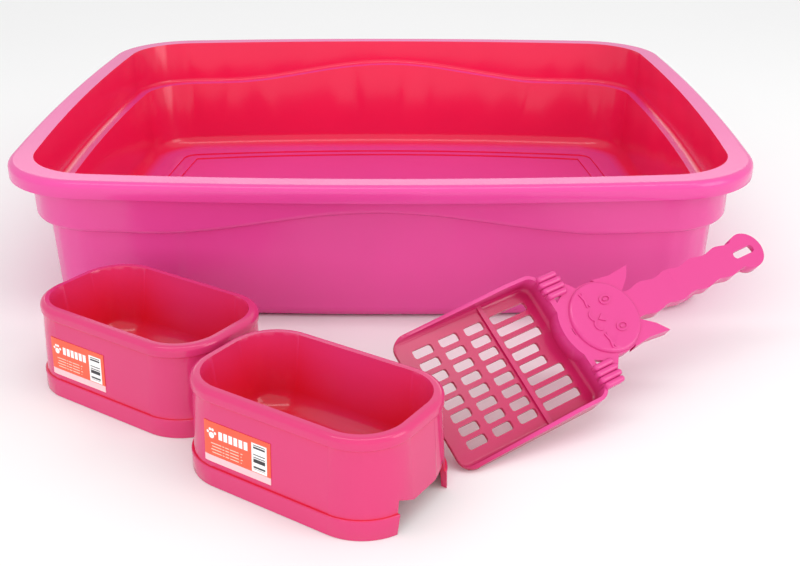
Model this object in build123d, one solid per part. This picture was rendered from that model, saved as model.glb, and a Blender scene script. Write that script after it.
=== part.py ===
from build123d import *
import math
import os

os.makedirs("parts", exist_ok=True)

# Pet set: an open litter tray, a slotted scoop tipped back in front of it and two food bowls.
# Origin at the centre of the tray's underside, +X to the right, +Y to the back, +Z up, mm.

# --- tray ---
TRAY_WIDTH = 530.0
TRAY_DEPTH = 456.0
TRAY_HEIGHT = 106.0
TRAY_CORNER = 69.0
TRAY_LONG_BOW = 14.5          # how far the front and back edges bow outward
TRAY_SHORT_BOW = 9.0
TRAY_WALL = 2.6
TRAY_FLOOR = 3.0
RIM_WIDTH = 16.5              # rim edge to the inner wall
RIM_SKIRT = 11.3              # how far the rim turns down
RIM_ROUND = 4.8
BAND_TOP_INSET = RIM_WIDTH - TRAY_WALL
BAND_LOW_INSET = 14.4
BODY_TOP_INSET = 21.0
BODY_LOW_INSET = 24.5
BAND_START = 52.5             # level the band's draft is measured from
STEP_LEVEL = 64.5             # height of the moulded shoulder at the corners
STEP_RISE = 17.0              # extra height of the shoulder at mid length
STEP_ROUND = 4.0              # rounding of the shoulder's lower edge
STEP_HALF_SPAN = 162.0
STEP_POINTS = 8               # points along the shoulder's wave
BASE_ROUND = 10.0
FLOOR_ROUND = 13.0
RIB_INSETS = (52.0, 64.0)     # the two raised rings on the floor
RIB_WIDTH = 4.0
RIB_HEIGHT = 1.6
OVERLAP = 1.0                 # solids that join or cut run into each other by this much

# --- bowls ---
BOWL_LENGTH = 136.0
BOWL_WIDTH = 82.0
BOWL_HEIGHT = 57.0
BOWL_CORNER = 30.0
BOWL_WALL = 2.2
BEAD_HEIGHT = 7.0
BEAD_OVERHANG = 1.3
BEAD_ROUND = 3.2
BAND_HEIGHT = 11.5
BAND_PROUD = 0.9
SKIRT_FLARE = 2.6             # the skirt is this much wider at the floor, per side
BASIN_RIM = 5.5
BASIN_DRAFT = 7.0
BASIN_FLOOR = 13.0
BASIN_ROUND = 12.0
NOTCH_HALF = 24.0             # half width of the cat-ear notch at the floor
NOTCH_EAR = 18.5
NOTCH_DIP = 13.5
NOTCH_EAR_Y = 21.0
NOTCH_DIP_Y = 10.0
NOTCH_REACH = 8.0             # how far the notch cuts in from the bowl's end
BOWL_TURN = -33.0
FRONT_BOWL_AT = (-30.0, -390.0)
REAR_BOWL_AT = (-137.7, -296.2)

# --- labels on the bowls ---
LABEL_SPAN = (-43.0, 2.0)
LABEL_BAND = (15.0, 39.0)
LABEL_THICK = 0.4

# --- scoop: local X runs from the front lip to the handle's end, local Z out of the pan ---
SCOOP_LENGTH = 262.0
BLADE_LENGTH = 101.0
BLADE_WIDTH = 86.0
BLADE_WALL = 2.2
BLADE_CORNER = 9.0
BLADE_ROUND = 2.5
BLADE_FULL_X = 77.0           # from here to the handle the walls keep their full height
BLADE_BACK = 15.0             # wall height at the handle
BLADE_LIP = 2.4               # wall height at the front lip
SLOT_WIDTH = 5.6
SLOT_PITCH = 8.5
SLOT_ROUND = 1.7
SLOT_COLUMNS = 8
SHORT_SLOT = 13.4
SHORT_ROWS = (16.1, 34.2, 52.3)
LONG_SLOT = 26.8
LONG_ROW = 78.0
LONG_SLOT_CUT = 7.5           # the two middle long slots stop short of the head
STEP_BAR_X = 62.0
STEP_BAR = (3.0, 1.4)         # width and height of the bar between short and long slots
HEAD_X = 125.5
HEAD_RADIUS = 24.0
HEAD_BULGE = 30.5             # radius of the pan's back wall around the head
ARM_REACH = 37.0
ARM_TAPER = (11.0, 2.0)       # the arm's outer corner, back from the blade and in
ARM_JOIN = (-4.0, -3.0)       # where the arm meets the head, from its side
ARM_WINDOW = ((1.5, 20.0), (1.5, 26.0), (8.0, 23.5))
EAR_OUTLINE = ((7.0, 24.0), (20.0, 22.5), (36.0, 24.0), (30.0, 16.5), (20.0, 9.0))
PLATE_TOP = 15.0
PLATE_THICK = 2.6
DOME_INSET = 0.8
DOME_HEIGHT = 1.8
DOME_ROUND = 1.6
FACE_RAISE = 0.7              # how far eyes, nose, mouth and whiskers stand proud of the head
EYE_AT = (6.0, 9.5)
EYE_SIZES = ((4.2, 3.2), (2.9, 1.9), (1.7, 0.9))
WHISKER_AT = (-7.0, 14.0)
WHISKER_SIZE = (10.0, 1.2)
WHISKER_SPREAD = 12.0
MOUTH_RADIUS = 3.2
NOSE_OUTLINE = ((-6.0, 0.0), (-2.0, -2.8), (-2.0, 2.8))
PAW_X = 4.5                   # middle of the fingers, behind the blade
PAW_Y = 31.0
FINGERS = 4
FINGER_PITCH = 4.0
FINGER_SIZE = (17.0, 3.9, 5.0)
FINGER_TAPER = 1.6            # the outer fingers are shorter
FINGER_ROUND = 1.7
FINGER_LEVEL = 12.6
HANDLE_START = 140.0
HANDLE_HALF = 10.0
HANDLE_WAVE = 0.9
HANDLE_WAVES = 5
HANDLE_END_RADIUS = 12.5
HANDLE_FLANGE = 8.0
HANG_SLOT = (18.0, 5.0)
HANG_INSET = 15.5             # middle of the hanging slot, from the handle's end
SCOOP_CORNER_AT = (50.0, -394.0, -0.9)
SCOOP_AZIMUTH = 34.0
SCOOP_CLIMB = 6.8
SCOOP_ROLL = 39.0


def bowed_face(width, depth, radius, long_bow, short_bow):
    """Rounded rectangle whose four sides bow gently outward."""
    x = width / 2 - short_bow
    y = depth / 2 - long_bow
    sides = [
        ThreePointArc((-x, -y), (0, -depth / 2), (x, -y)),
        ThreePointArc((x, -y), (width / 2, 0), (x, y)),
        ThreePointArc((x, y), (0, depth / 2), (-x, y)),
        ThreePointArc((-x, y), (-width / 2, 0), (-x, -y)),
    ]
    face = make_face(sides)
    return fillet(face.vertices(), radius)


def tray_face(inset, level):
    radius = TRAY_CORNER - inset
    width = TRAY_WIDTH - 2 * inset
    depth = TRAY_DEPTH - 2 * inset
    return Pos(0, 0, level) * bowed_face(width, depth, radius, TRAY_LONG_BOW, TRAY_SHORT_BOW)


def above_step(lift):
    """Everything above the wavy shoulder line, raised by lift."""
    reach = TRAY_WIDTH
    top = 2 * TRAY_HEIGHT
    base = STEP_LEVEL + lift
    points = []
    for index in range(STEP_POINTS + 1):
        part = 2 * index / STEP_POINTS - 1
        rise = (1 + math.cos(math.pi * part)) / 2
        points.append((part * STEP_HALF_SPAN, base + rise * STEP_RISE))
    outline = [
        Line((-reach, base), points[0]),
        Spline(*points, tangents=[(1, 0), (1, 0)]),
        Line(points[-1], (reach, base)),
        Line((reach, base), (reach, top)),
        Line((reach, top), (-reach, top)),
        Line((-reach, top), (-reach, base)),
    ]
    return extrude(Plane.XZ * make_face(outline), TRAY_DEPTH, both=True)


def tray_body(wall, bottom, top, round_radius):
    """Drafted lower body with the wider band above the shoulder, shrunk by wall."""
    lower = loft([tray_face(BODY_LOW_INSET + wall, bottom), tray_face(BODY_TOP_INSET + wall, top)])
    foot = lower.edges().group_by(Axis.Z)[0]
    lower = fillet(foot, round_radius)
    upper = loft([tray_face(BAND_LOW_INSET + wall, BAND_START), tray_face(BAND_TOP_INSET + wall, top)])
    upper = upper & above_step(wall)
    upper = fillet(upper.faces().sort_by(Axis.Z)[0].edges(), STEP_ROUND)
    return lower + upper


def make_tray():
    body = tray_body(0, 0, TRAY_HEIGHT - OVERLAP, BASE_ROUND)
    rim = extrude(tray_face(0, TRAY_HEIGHT - RIM_SKIRT), RIM_SKIRT)
    rim = fillet(rim.edges().group_by(Axis.Z)[-1], RIM_ROUND)
    rim -= extrude(tray_face(TRAY_WALL, TRAY_HEIGHT - RIM_SKIRT), RIM_SKIRT - TRAY_WALL)
    cavity = tray_body(TRAY_WALL, TRAY_FLOOR, TRAY_HEIGHT + OVERLAP, FLOOR_ROUND)
    tray = body + rim - cavity
    level = TRAY_FLOOR - OVERLAP
    for inset in RIB_INSETS:
        ring = tray_face(inset, level) - tray_face(inset + RIB_WIDTH, level)
        tray += extrude(ring, RIB_HEIGHT + OVERLAP)
    return tray


def bowl_face(grow, level):
    length = BOWL_LENGTH + 2 * grow
    width = BOWL_WIDTH + 2 * grow
    return Pos(0, 0, level) * RectangleRounded(length, width, BOWL_CORNER + grow)


def bowl_skirt(grow, top):
    """Flared skirt from the floor up to top, grown by grow on every side."""
    high = grow - BEAD_OVERHANG
    return loft([bowl_face(high + SKIRT_FLARE, 0), bowl_face(high, top)])


def make_basin(wall, top):
    """The drafted basin up to top, grown by wall on its sides and under its floor."""
    foot = bowl_face(wall - BASIN_RIM - BASIN_DRAFT, BASIN_FLOOR - wall)
    basin = loft([foot, bowl_face(wall - BASIN_RIM, top)])
    return fillet(basin.edges().group_by(Axis.Z)[0], BASIN_ROUND)


def make_bowl():
    outer = bowl_skirt(0, BOWL_HEIGHT - BEAD_HEIGHT / 2)
    band_grow = SKIRT_FLARE - BEAD_OVERHANG + BAND_PROUD
    band = extrude(bowl_face(band_grow, 0), BAND_HEIGHT)
    band = fillet(band.edges().group_by(Axis.Z)[-1], BAND_PROUD)
    bead = extrude(bowl_face(0, BOWL_HEIGHT - BEAD_HEIGHT), BEAD_HEIGHT)
    bead = fillet(bead.edges().group_by(Axis.Z)[-1], BEAD_ROUND)
    bead = fillet(bead.edges().group_by(Axis.Z)[0], BEAD_OVERHANG)
    hollow = bowl_skirt(-BOWL_WALL, BOWL_HEIGHT - BOWL_WALL - OVERLAP)
    ear_side = [(-NOTCH_HALF, -OVERLAP), (-NOTCH_EAR_Y, NOTCH_EAR), (-NOTCH_DIP_Y, NOTCH_DIP)]
    far_side = [(-y, z) for y, z in reversed(ear_side)]
    notch = extrude(Plane.YZ * make_face(Polyline(*ear_side, *far_side, close=True)), 2 * NOTCH_REACH)
    notch = Pos(BOWL_LENGTH / 2 - NOTCH_REACH, 0, 0) * notch
    basin_out = make_basin(BOWL_WALL, BOWL_HEIGHT - OVERLAP)
    basin = make_basin(0, BOWL_HEIGHT + OVERLAP)
    shell = outer + band + bead - hollow - notch
    return shell + basin_out - basin


def make_label():
    """Thin sticker lying on the bowl's long side, on its drafted wall."""
    top = BOWL_HEIGHT - BEAD_HEIGHT / 2
    skin = bowl_skirt(LABEL_THICK, top) - bowl_skirt(0, top)
    length = LABEL_SPAN[1] - LABEL_SPAN[0]
    height = LABEL_BAND[1] - LABEL_BAND[0]
    middle = (LABEL_SPAN[0] + LABEL_SPAN[1]) / 2
    window = Box(length, BOWL_WIDTH, height)
    return skin & (Pos(middle, -BOWL_WIDTH / 2, LABEL_BAND[0] + height / 2) * window)


def make_blade():
    """Slotted pan whose walls drop from the handle to the front lip."""
    middle = BLADE_LENGTH / 2
    outline = Pos(middle, 0) * RectangleRounded(BLADE_LENGTH, BLADE_WIDTH, BLADE_CORNER)
    block = extrude(outline, BLADE_BACK)
    above = 2 * BLADE_BACK
    slope = Polyline(
        (-OVERLAP, BLADE_LIP), (BLADE_FULL_X, BLADE_BACK), (BLADE_FULL_X, above), (-OVERLAP, above),
        close=True,
    )
    block -= extrude(Plane.XZ * make_face(slope), BLADE_WIDTH, both=True)
    wide = BLADE_WIDTH - 2 * BLADE_WALL
    room = RectangleRounded(BLADE_LENGTH, wide, BLADE_CORNER - BLADE_WALL)
    room = extrude(Pos(middle - BLADE_WALL, 0, BLADE_WALL) * room, BLADE_BACK)
    room = fillet(room.edges().group_by(Axis.Z)[0], BLADE_ROUND)
    centre = Pos(HEAD_X, 0, BLADE_BACK / 2)
    blade = block - (room - centre * Cylinder(HEAD_BULGE, 2 * BLADE_BACK))
    hollow = centre * Cylinder(HEAD_BULGE - BLADE_WALL, BLADE_BACK - 2 * BLADE_WALL)
    back_wall = Pos(BLADE_LENGTH - BLADE_WALL, 0, 0) * Box(2 * HEAD_BULGE, BLADE_WIDTH, above)
    blade -= hollow & (Pos(-HEAD_BULGE, 0, 0) * back_wall)
    bar = Box(STEP_BAR[0], wide, STEP_BAR[1] + OVERLAP, align=(Align.CENTER, Align.CENTER, Align.MIN))
    return blade + Pos(STEP_BAR_X, 0, BLADE_WALL - OVERLAP) * bar


def slot_cutter(x, y, length):
    """A round-cornered slot that passes through the pan's floor."""
    shape = RectangleRounded(length, SLOT_WIDTH, SLOT_ROUND)
    return Pos(x, y, 0) * extrude(shape, BLADE_BACK, both=True)


def slot_cutters():
    cutters = []
    for column in range(SLOT_COLUMNS):
        y = (column - (SLOT_COLUMNS - 1) / 2) * SLOT_PITCH
        for x in SHORT_ROWS:
            cutters.append(slot_cutter(x, y, SHORT_SLOT))
        trim = LONG_SLOT_CUT if abs(y) < SLOT_PITCH else 0
        cutters.append(slot_cutter(LONG_ROW - trim / 2, y, LONG_SLOT - trim))
    return cutters


def grip_face(inset):
    """Handle outline with scalloped edges and a round end."""
    end = SCOOP_LENGTH - HANDLE_END_RADIUS
    steps = HANDLE_WAVES * 4
    upper = []
    for step in range(steps + 1):
        x = HANDLE_START + (end - HANDLE_START) * step / steps
        y = HANDLE_HALF - inset + HANDLE_WAVE * math.cos(2 * math.pi * step / 4)
        upper.append((x, y))
    lower = [(x, -y) for x, y in upper]
    outline = [
        Spline(*upper),
        Line(upper[-1], lower[-1]),
        Spline(*lower),
        Line(lower[0], upper[0]),
    ]
    return make_face(outline) + Pos(end, 0) * Circle(HANDLE_END_RADIUS - inset)


def head_face(points, hand=1, scale=1.0):
    """Closed outline given from the head's centre; hand -1 mirrors it, scale shrinks it."""
    placed = [(HEAD_X + x * scale, hand * y * scale) for x, y in points]
    return make_face(Polyline(*placed, close=True))


def neck_face(inset):
    """The head's disc with its two ears, and the arms that reach to the blade's back corners."""
    start = BLADE_LENGTH - BLADE_WALL
    side = HEAD_RADIUS - inset
    reach = ARM_REACH - inset
    face = Pos(HEAD_X, 0) * Circle(side)
    for hand in (-1, 1):
        arm = Polyline(
            (start, 0), (start, hand * reach), (start + ARM_TAPER[0], hand * (reach - ARM_TAPER[1])),
            (HEAD_X + ARM_JOIN[0], hand * (side + ARM_JOIN[1])), close=True,
        )
        face += make_face(arm)
        face += head_face(EAR_OUTLINE, hand, 1 - 2 * inset / HEAD_RADIUS)
    return face


def make_handle():
    """Neck plate and grip, each with a flange turned down around its edge."""
    low = PLATE_TOP - HANDLE_FLANGE
    outer = extrude(Pos(0, 0, low) * (neck_face(0) + grip_face(0)), HANDLE_FLANGE)
    inner = Pos(0, 0, low) * (neck_face(BLADE_WALL) + grip_face(BLADE_WALL))
    handle = outer - extrude(inner, HANDLE_FLANGE - PLATE_THICK)
    hang = Pos(SCOOP_LENGTH - HANG_INSET, 0) * SlotOverall(*HANG_SLOT)
    handle -= extrude(hang, 2 * PLATE_TOP)
    for hand in (-1, 1):
        corners = [(BLADE_LENGTH + x, hand * y) for x, y in ARM_WINDOW]
        handle -= extrude(make_face(Polyline(*corners, close=True)), 2 * PLATE_TOP)
    return handle


def face_relief():
    """Raised cat face on the head disc, its ears pointing to the handle."""
    dome = Pos(HEAD_X, 0, PLATE_TOP - OVERLAP) * Circle(HEAD_RADIUS - DOME_INSET)
    dome = extrude(dome, DOME_HEIGHT + OVERLAP)
    relief = [fillet(dome.edges().group_by(Axis.Z)[-1], DOME_ROUND)]
    rings = [Ellipse(*size) for size in EYE_SIZES]
    marks = [head_face(NOSE_OUTLINE)]
    for hand in (-1, 1):
        marks.append(Pos(HEAD_X + EYE_AT[0], hand * EYE_AT[1]) * (rings[0] - rings[1] + rings[2]))
        mouth = CenterArc((HEAD_X + WHISKER_AT[0], hand * MOUTH_RADIUS), MOUTH_RADIUS, 90, 180)
        marks.append(trace(mouth, WHISKER_SIZE[1]))
        root = Pos(HEAD_X + WHISKER_AT[0], hand * WHISKER_AT[1])
        for spread in (-WHISKER_SPREAD, WHISKER_SPREAD):
            marks.append(root * Rot(0, 0, hand * (90 + spread)) * SlotOverall(*WHISKER_SIZE))
    for mark in marks:
        base = Pos(0, 0, PLATE_TOP + DOME_HEIGHT - FACE_RAISE) * mark
        relief.append(extrude(base, 2 * FACE_RAISE))
    return relief


def paws():
    """Rounded fingers each side, folded over the blade's back edge."""
    length, width, height = FINGER_SIZE
    fingers = []
    for hand in (-1, 1):
        for finger in range(FINGERS):
            place = finger - (FINGERS - 1) / 2
            bar = extrude(SlotOverall(length - FINGER_TAPER * abs(place), width), height)
            bar = fillet(bar.edges().group_by(Axis.Z)[-1], FINGER_ROUND)
            spot = Pos(BLADE_LENGTH + PAW_X, hand * PAW_Y + place * FINGER_PITCH, FINGER_LEVEL)
            fingers.append(spot * bar)
    return fingers


def make_scoop():
    scoop = make_blade()
    for cutter in slot_cutters():
        scoop -= cutter
    scoop += make_handle()
    for piece in face_relief() + paws():
        scoop += piece
    return scoop


def stand_scoop(scoop):
    """Stand the blade's near corner on the floor, tipped back with the handle towards the tray."""
    turn = Rot(0, 0, SCOOP_AZIMUTH) * Rot(0, -SCOOP_CLIMB, 0) * Rot(SCOOP_ROLL, 0, 0)
    return Pos(*SCOOP_CORNER_AT) * turn * Pos(0, BLADE_WIDTH / 2, 0) * scoop


bowl = make_bowl()
label = make_label()
parts = {"tray": make_tray(), "scoop": stand_scoop(make_scoop())}
for name, place in (("front_bowl", FRONT_BOWL_AT), ("rear_bowl", REAR_BOWL_AT)):
    spot = Pos(place[0], place[1], 0) * Rot(0, 0, BOWL_TURN)
    parts[name] = spot * bowl
    parts[name + "_label"] = spot * label

for name, shape in parts.items():
    export_step(shape, "parts/" + name + ".step")
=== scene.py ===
import math

import bpy
from mathutils import Matrix, Vector


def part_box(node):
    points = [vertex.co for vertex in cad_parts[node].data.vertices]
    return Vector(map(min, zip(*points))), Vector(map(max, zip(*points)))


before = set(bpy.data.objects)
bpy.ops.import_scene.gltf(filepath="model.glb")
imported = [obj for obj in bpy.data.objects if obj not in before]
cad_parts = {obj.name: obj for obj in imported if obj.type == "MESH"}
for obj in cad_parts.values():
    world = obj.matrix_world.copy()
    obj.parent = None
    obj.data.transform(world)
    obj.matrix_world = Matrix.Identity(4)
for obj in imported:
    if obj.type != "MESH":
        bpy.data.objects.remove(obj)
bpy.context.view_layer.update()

# Pet set on a white floor: litter tray, tilted scoop and the pair of food bowls, hot-pink plastic.
# Lengths in metres, in the row frame.

# Camera: a 49.5 mm lens in front of the tray, tipped down.
LENS = 49.5
CAMERA_X = 0.0167
CAMERA_BACK = 0.8953
CAMERA_ABOVE_RIM = 0.2356
CAMERA_PITCH = 0.426
CAMERA_YAW = 0.004

BOWL_TURN = math.radians(-33.0)
# The scoop's plate as the CAD places it: turned by these angles, from this corner of its blade.
SCOOP_TURNS = (("Z", 34.0), ("Y", -6.8), ("X", 39.0))
SCOOP_CORNER = (0.050, -0.394, -0.0009)
PAN_DEPTH = 0.012
HOLLOW_REACH = 0.06           # how far a hollow's walls shade each other

EDGE_ANGLE = math.radians(28)
EDGE_WIDTHS = {"tray": 0.0009, "scoop": 0.0004, "front_bowl": 0.0006, "rear_bowl": 0.0006}
LABELS = ("front_bowl_label", "rear_bowl_label")

# Screen colours outside and inside, and roughness. The darker, redder inside colour is painted shade for the
# hollows and inner walls.
TRAY_PINK_AND_PAINTED_SHADE = ((228, 74, 156), (232, 26, 78), 0.2)
BOWL_PINK_AND_PAINTED_SHADE = ((214, 54, 114), (226, 26, 42), 0.15)
SCOOP_PINK_AND_PAINTED_SHADE = ((216, 62, 138), (178, 6, 66), 0.2)

# Sticker layout, in fractions of its length and height from its middle.
STICKER_ASPECT = 1.875
STICKER_FOOT = ((0.0, -0.42), (1.0, 0.17))
PAW_TOES = ((-0.43, 0.24), (-0.395, 0.31), (-0.355, 0.31), (-0.32, 0.24))
PAW_PAD = (-0.375, 0.17)
TOE_RADIUS = 0.035
PAD_RADIUS = 0.075
HEADING_START = -0.24
HEADING_STEP = 0.075
HEADING_LEVEL = 0.22
HEADING_BLOCK = (0.055, 0.2)
HEADING_BLOCKS = 6
RULE_PLACE = (-0.15, -0.02)
RULE_STEP = 0.075
RULE_SIZES = ((0.5, 0.022), (0.44, 0.022))
RULES = 4
BAR_PANEL = ((0.33, 0.03), (0.22, 0.7))
BAR_FIELD = ((0.33, 0.04), (0.17, 0.6))
WHITE = (0.93, 0.93, 0.92, 1.0)
INK = (0.03, 0.03, 0.035, 1.0)
PALE_INK = (0.9, 0.62, 0.5, 1.0)

# Lamps: name, place, aim, size, watts, mirrored in the plastic or not.
LAMPS = (
    ("top", (0.0, -0.55, 1.7), (0, -0.1, 0), (2.4, 0.35), 8, True),
    ("front", (-0.5, -2.2, 0.7), (0, -0.2, 0.05), (1.8, 1.0), 15, False),
    ("right", (1.6, -0.8, 0.9), (0, -0.1, 0.05), (0.9, 1.2), 8, True),
    ("back", (0.0, 2.6, 1.25), (0, 0, 0.05), (3.4, 0.4), 7, True),
)
ROOM_LIGHT = 0.76
FLOOR_SPAN = 14
FLOOR_DROP = 0.0002           # keeps the floor off the undersides that stand on it


# --- shader helpers -----------------------------------------------------------------------------

class Shader:
    """A material's node tree with short ways to add what this scene uses."""

    def __init__(self, name):
        self.material = bpy.data.materials.new(name)
        self.material.use_nodes = True
        self.tree = self.material.node_tree
        self.base = self.tree.nodes["Principled BSDF"]

    def add(self, kind, **settings):
        node = self.tree.nodes.new(kind)
        for key, value in settings.items():
            setattr(node, key, value)
        return node

    def place(self):
        """Where a point lies on the piece, in metres."""
        return self.add("ShaderNodeTexCoord").outputs["Object"]

    def link(self, source, target):
        self.tree.links.new(source, target)

    def math(self, operation, first, second=0.0):
        node = self.add("ShaderNodeMath", operation=operation)
        for socket, value in zip(node.inputs, (first, second)):
            if isinstance(value, (int, float)):
                socket.default_value = value
            else:
                self.link(value, socket)
        return node.outputs[0]

    def ramp(self, source, low, high, low_out, high_out):
        node = self.add("ShaderNodeMapRange")
        for key, value in (("From Min", low), ("From Max", high), ("To Min", low_out), ("To Max", high_out)):
            node.inputs[key].default_value = value
        self.link(source, node.inputs["Value"])
        return node.outputs["Result"]

    def noise(self, vector, scale, detail=3.0):
        node = self.add("ShaderNodeTexNoise")
        node.inputs["Scale"].default_value = scale
        node.inputs["Detail"].default_value = detail
        self.link(vector, node.inputs["Vector"])
        return node.outputs["Fac"]

    def mix(self, factor, first, second):
        node = self.add("ShaderNodeMix", data_type="RGBA")
        sockets = [s for s in node.inputs if s.type == "RGBA"]
        for socket, value in zip(sockets, (first, second)):
            if isinstance(value, tuple):
                socket.default_value = value
            else:
                self.link(value, socket)
        self.link(factor, node.inputs["Factor"])
        return [s for s in node.outputs if s.type == "RGBA"][0]

    def bump(self, height, strength, distance):
        node = self.add("ShaderNodeBump")
        node.inputs["Strength"].default_value = strength
        node.inputs["Distance"].default_value = distance
        self.link(height, node.inputs["Height"])
        return node.outputs["Normal"]


def srgb(red, green, blue):
    """Screen colour, 0 to 255, as the linear colour a shader takes."""
    def channel(value):
        part = value / 255
        return part / 12.92 if part <= 0.04045 else ((part + 0.055) / 1.055) ** 2.4
    return (channel(red), channel(green), channel(blue), 1.0)


def in_the_open(shader):
    """0 in a piece's own hollows, 1 where nothing of it is near; it places the bowls' painted shade."""
    open_sky = shader.add("ShaderNodeAmbientOcclusion", samples=8, only_local=True)
    open_sky.inputs["Distance"].default_value = HOLLOW_REACH
    return shader.ramp(open_sky.outputs["AO"], 0.45, 0.95, 0.0, 1.0)


def facing_out(shader):
    """0 on walls that face the tray's middle, 1 where it faces up or away; it places the painted shade on
    the tray's inner walls.
    """
    level = shader.add("ShaderNodeVectorMath", operation="MULTIPLY")
    shader.link(shader.place(), level.inputs[0])
    level.inputs[1].default_value = (1.0, 1.0, 0.0)
    outward = shader.add("ShaderNodeVectorMath", operation="NORMALIZE")
    shader.link(level.outputs["Vector"], outward.inputs[0])
    facing = shader.add("ShaderNodeVectorMath", operation="DOT_PRODUCT")
    shader.link(outward.outputs["Vector"], facing.inputs[0])
    shader.link(shader.add("ShaderNodeTexCoord").outputs["Normal"], facing.inputs[1])
    return shader.ramp(facing.outputs["Value"], -0.55, 0.0, 0.0, 1.0)


def above_pan(shader):
    """0 at the scoop's pan floor, 1 at its face plate, measured square to the tilted plate; it places the
    painted shade in the pan.
    """
    square = Vector((0, 0, 1))
    for axis, degrees in reversed(SCOOP_TURNS):
        square = Matrix.Rotation(math.radians(degrees), 3, axis) @ square
    height = shader.add("ShaderNodeVectorMath", operation="DOT_PRODUCT")
    shader.link(shader.place(), height.inputs[0])
    height.inputs[1].default_value = square
    start = square.dot(Vector(SCOOP_CORNER))
    return shader.ramp(height.outputs["Value"], start, start + PAN_DEPTH, 0.0, 1.0)


def moulded_pink(name, pink_with_painted_shade, opening):
    """Hot-pink plastic. Its base colour is tinted from outside to inside by what opening gives; the inside
    colour is painted shade.
    """
    outside, inside, rough = pink_with_painted_shade
    shader = Shader(name)
    place = shader.place()
    cloud = shader.ramp(shader.noise(place, 7.0, 4.0), 0.3, 0.7, 0.95, 1.03)
    # Painted shade: the inside colour darkens and reddens the hollows in the base colour.
    colour = shader.mix(opening(shader), srgb(*inside), srgb(*outside))
    tone = shader.add("ShaderNodeHueSaturation")
    shader.link(cloud, tone.inputs["Value"])
    shader.link(colour, tone.inputs["Color"])
    shader.link(tone.outputs["Color"], shader.base.inputs["Base Color"])
    marks = shader.noise(place, 24.0, 3.0)
    shader.link(shader.ramp(marks, 0.3, 0.75, rough - 0.02, rough + 0.03), shader.base.inputs["Roughness"])
    grain = shader.bump(shader.noise(place, 900.0, 2.0), 0.035, 0.0004)
    shader.link(grain, shader.base.inputs["Normal"])
    shader.base.inputs["IOR"].default_value = 1.5
    return shader.material


# --- printed sticker ----------------------------------------------------------------------------

def label_places(shader, node):
    """Distances along and up the label from its middle, as fractions of its length and height."""
    low, high = (Vector(corner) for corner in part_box(node))
    middle = (low + high) / 2
    length = (high.x - low.x) / math.cos(BOWL_TURN)
    place = shader.place()
    split = shader.add("ShaderNodeSeparateXYZ")
    shader.link(place, split.inputs[0])
    x = shader.math("SUBTRACT", split.outputs["X"], middle.x)
    y = shader.math("SUBTRACT", split.outputs["Y"], middle.y)
    along = shader.math("ADD", shader.math("MULTIPLY", x, math.cos(BOWL_TURN)),
                        shader.math("MULTIPLY", y, math.sin(BOWL_TURN)))
    up = shader.math("SUBTRACT", split.outputs["Z"], middle.z)
    return shader.math("DIVIDE", along, length), shader.math("DIVIDE", up, high.z - low.z)


def rectangle(shader, along, up, centre, size):
    """1 inside the rectangle, 0 outside."""
    sides = []
    for value, middle, extent in zip((along, up), centre, size):
        distance = shader.math("ABSOLUTE", shader.math("SUBTRACT", value, middle))
        sides.append(shader.math("LESS_THAN", distance, extent / 2))
    return shader.math("MULTIPLY", *sides)


def disc(shader, along, up, centre, radius):
    """1 inside the disc, 0 outside; the radius is a fraction of the label's height."""
    x = shader.math("MULTIPLY", shader.math("SUBTRACT", along, centre[0]), STICKER_ASPECT)
    y = shader.math("SUBTRACT", up, centre[1])
    square = shader.math("ADD", shader.math("MULTIPLY", x, x), shader.math("MULTIPLY", y, y))
    return shader.math("LESS_THAN", square, radius * radius)


def any_of(shader, masks):
    """1 where any of the masks is 1."""
    total = masks[0]
    for mask in masks[1:]:
        total = shader.math("MAXIMUM", total, mask)
    return total


def cells(shader, value, count, share):
    """Uneven stripes across value: count of them to a whole label, and about share of them on."""
    node = shader.add("ShaderNodeTexWhiteNoise", noise_dimensions="1D")
    shader.link(shader.math("FLOOR", shader.math("MULTIPLY", value, count)), node.inputs["W"])
    return shader.math("LESS_THAN", node.outputs["Value"], share)


def printed_label(node):
    """Orange-red sticker with a paw mark, blank heading blocks, ruled lines and a bar pattern."""
    shader = Shader("sticker_" + node)
    along, up = label_places(shader, node)
    place = shader.place()
    colour = shader.mix(shader.noise(place, 60.0), srgb(238, 84, 58), srgb(244, 104, 72))
    colour = shader.mix(rectangle(shader, along, up, *STICKER_FOOT), colour, srgb(252, 200, 205))
    marks = [disc(shader, along, up, toe, TOE_RADIUS) for toe in PAW_TOES]
    marks.append(disc(shader, along, up, PAW_PAD, PAD_RADIUS))
    for block in range(HEADING_BLOCKS):
        spot = (HEADING_START + HEADING_STEP * block, HEADING_LEVEL)
        marks.append(rectangle(shader, along, up, spot, HEADING_BLOCK))
    colour = shader.mix(any_of(shader, marks), colour, WHITE)
    lines = []
    for row in range(RULES):
        spot = (RULE_PLACE[0], RULE_PLACE[1] - RULE_STEP * row)
        lines.append(rectangle(shader, along, up, spot, RULE_SIZES[row % 2]))
    words = shader.math("MULTIPLY", any_of(shader, lines), cells(shader, along, 70.0, 0.78))
    colour = shader.mix(words, colour, PALE_INK)
    colour = shader.mix(rectangle(shader, along, up, *BAR_PANEL), colour, WHITE)
    bars = rectangle(shader, along, up, *BAR_FIELD)
    bars = shader.math("MULTIPLY", bars, cells(shader, up, 44.0, 0.5))
    colour = shader.mix(bars, colour, INK)
    shader.link(colour, shader.base.inputs["Base Color"])
    shader.link(shader.ramp(shader.noise(place, 90.0), 0.3, 0.7, 0.3, 0.42), shader.base.inputs["Roughness"])
    shader.link(shader.bump(shader.noise(place, 220.0), 0.08, 0.0003), shader.base.inputs["Normal"])
    return shader.material


# --- pieces -------------------------------------------------------------------------------------

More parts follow.
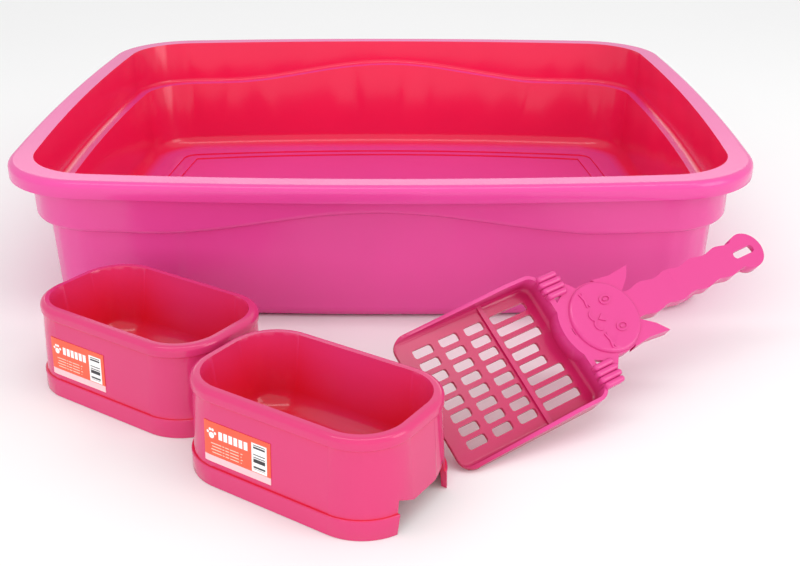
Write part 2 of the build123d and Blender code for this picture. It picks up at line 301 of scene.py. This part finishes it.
def dress(node, material, edge):
    """Paints a CAD node and softens its edges."""
    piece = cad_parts[node]
    piece.data.materials.clear()
    piece.data.materials.append(material)
    weld = piece.modifiers.new("weld", "WELD")
    weld.merge_threshold = 0.00001
    bevel = piece.modifiers.new("edges", "BEVEL")
    bevel.width = edge
    bevel.segments = 2
    bevel.limit_method = "ANGLE"
    bevel.angle_limit = EDGE_ANGLE
    bevel.harden_normals = True


def dress_all():
    tray = moulded_pink("pink_tray", TRAY_PINK_AND_PAINTED_SHADE, facing_out)
    bowl = moulded_pink("pink_bowl", BOWL_PINK_AND_PAINTED_SHADE, in_the_open)
    scoop = moulded_pink("pink_scoop", SCOOP_PINK_AND_PAINTED_SHADE, above_pan)
    pink_with_painted_shade = {"tray": tray, "scoop": scoop, "front_bowl": bowl, "rear_bowl": bowl}
    for node, edge in EDGE_WIDTHS.items():
        dress(node, pink_with_painted_shade[node], edge)
    for node in LABELS:
        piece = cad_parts[node]
        piece.data.materials.clear()
        piece.data.materials.append(printed_label(node))


# --- stage --------------------------------------------------------------------------------------

def white_floor():
    bpy.ops.mesh.primitive_plane_add(size=FLOOR_SPAN, location=(0, 0, -FLOOR_DROP))
    floor = bpy.context.object
    floor.name = "floor"
    shader = Shader("floor_white")
    place = shader.place()
    colour = shader.mix(shader.noise(place, 2.0), (0.9, 0.9, 0.9, 1.0), (0.93, 0.93, 0.93, 1.0))
    shader.link(colour, shader.base.inputs["Base Color"])
    shader.base.inputs["Roughness"].default_value = 0.75
    floor.data.materials.append(shader.material)


def softbox(name, place, aim, size, power, mirrored):
    """Rectangular lamp; it always lights the plastic, and may also be mirrored in it."""
    data = bpy.data.lights.new(name, "AREA")
    data.shape = "RECTANGLE"
    data.size, data.size_y = size
    data.energy = power
    light = bpy.data.objects.new(name, data)
    light.location = place
    light.rotation_euler = (Vector(aim) - Vector(place)).to_track_quat("-Z", "Y").to_euler()
    light.visible_glossy = mirrored
    bpy.context.collection.objects.link(light)


def studio():
    world = bpy.data.worlds.new("studio")
    world.use_nodes = True
    sky = world.node_tree.nodes["Background"]
    sky.inputs["Color"].default_value = (1.0, 1.0, 1.0, 1.0)
    sky.inputs["Strength"].default_value = ROOM_LIGHT
    bpy.context.scene.world = world
    for lamp in LAMPS:
        softbox(*lamp)
    bpy.context.scene.view_settings.view_transform = "Standard"


def photo_camera():
    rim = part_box("tray")[1][2]
    data = bpy.data.cameras.new("photo_camera")
    data.lens = LENS
    data.sensor_width = 36.0
    camera = bpy.data.objects.new("photo_camera", data)
    camera.location = (CAMERA_X, -CAMERA_BACK, rim + CAMERA_ABOVE_RIM)
    camera.rotation_euler = (math.pi / 2 - CAMERA_PITCH, 0, CAMERA_YAW)
    bpy.context.collection.objects.link(camera)
    bpy.context.scene.camera = camera


dress_all()
white_floor()
studio()
photo_camera()
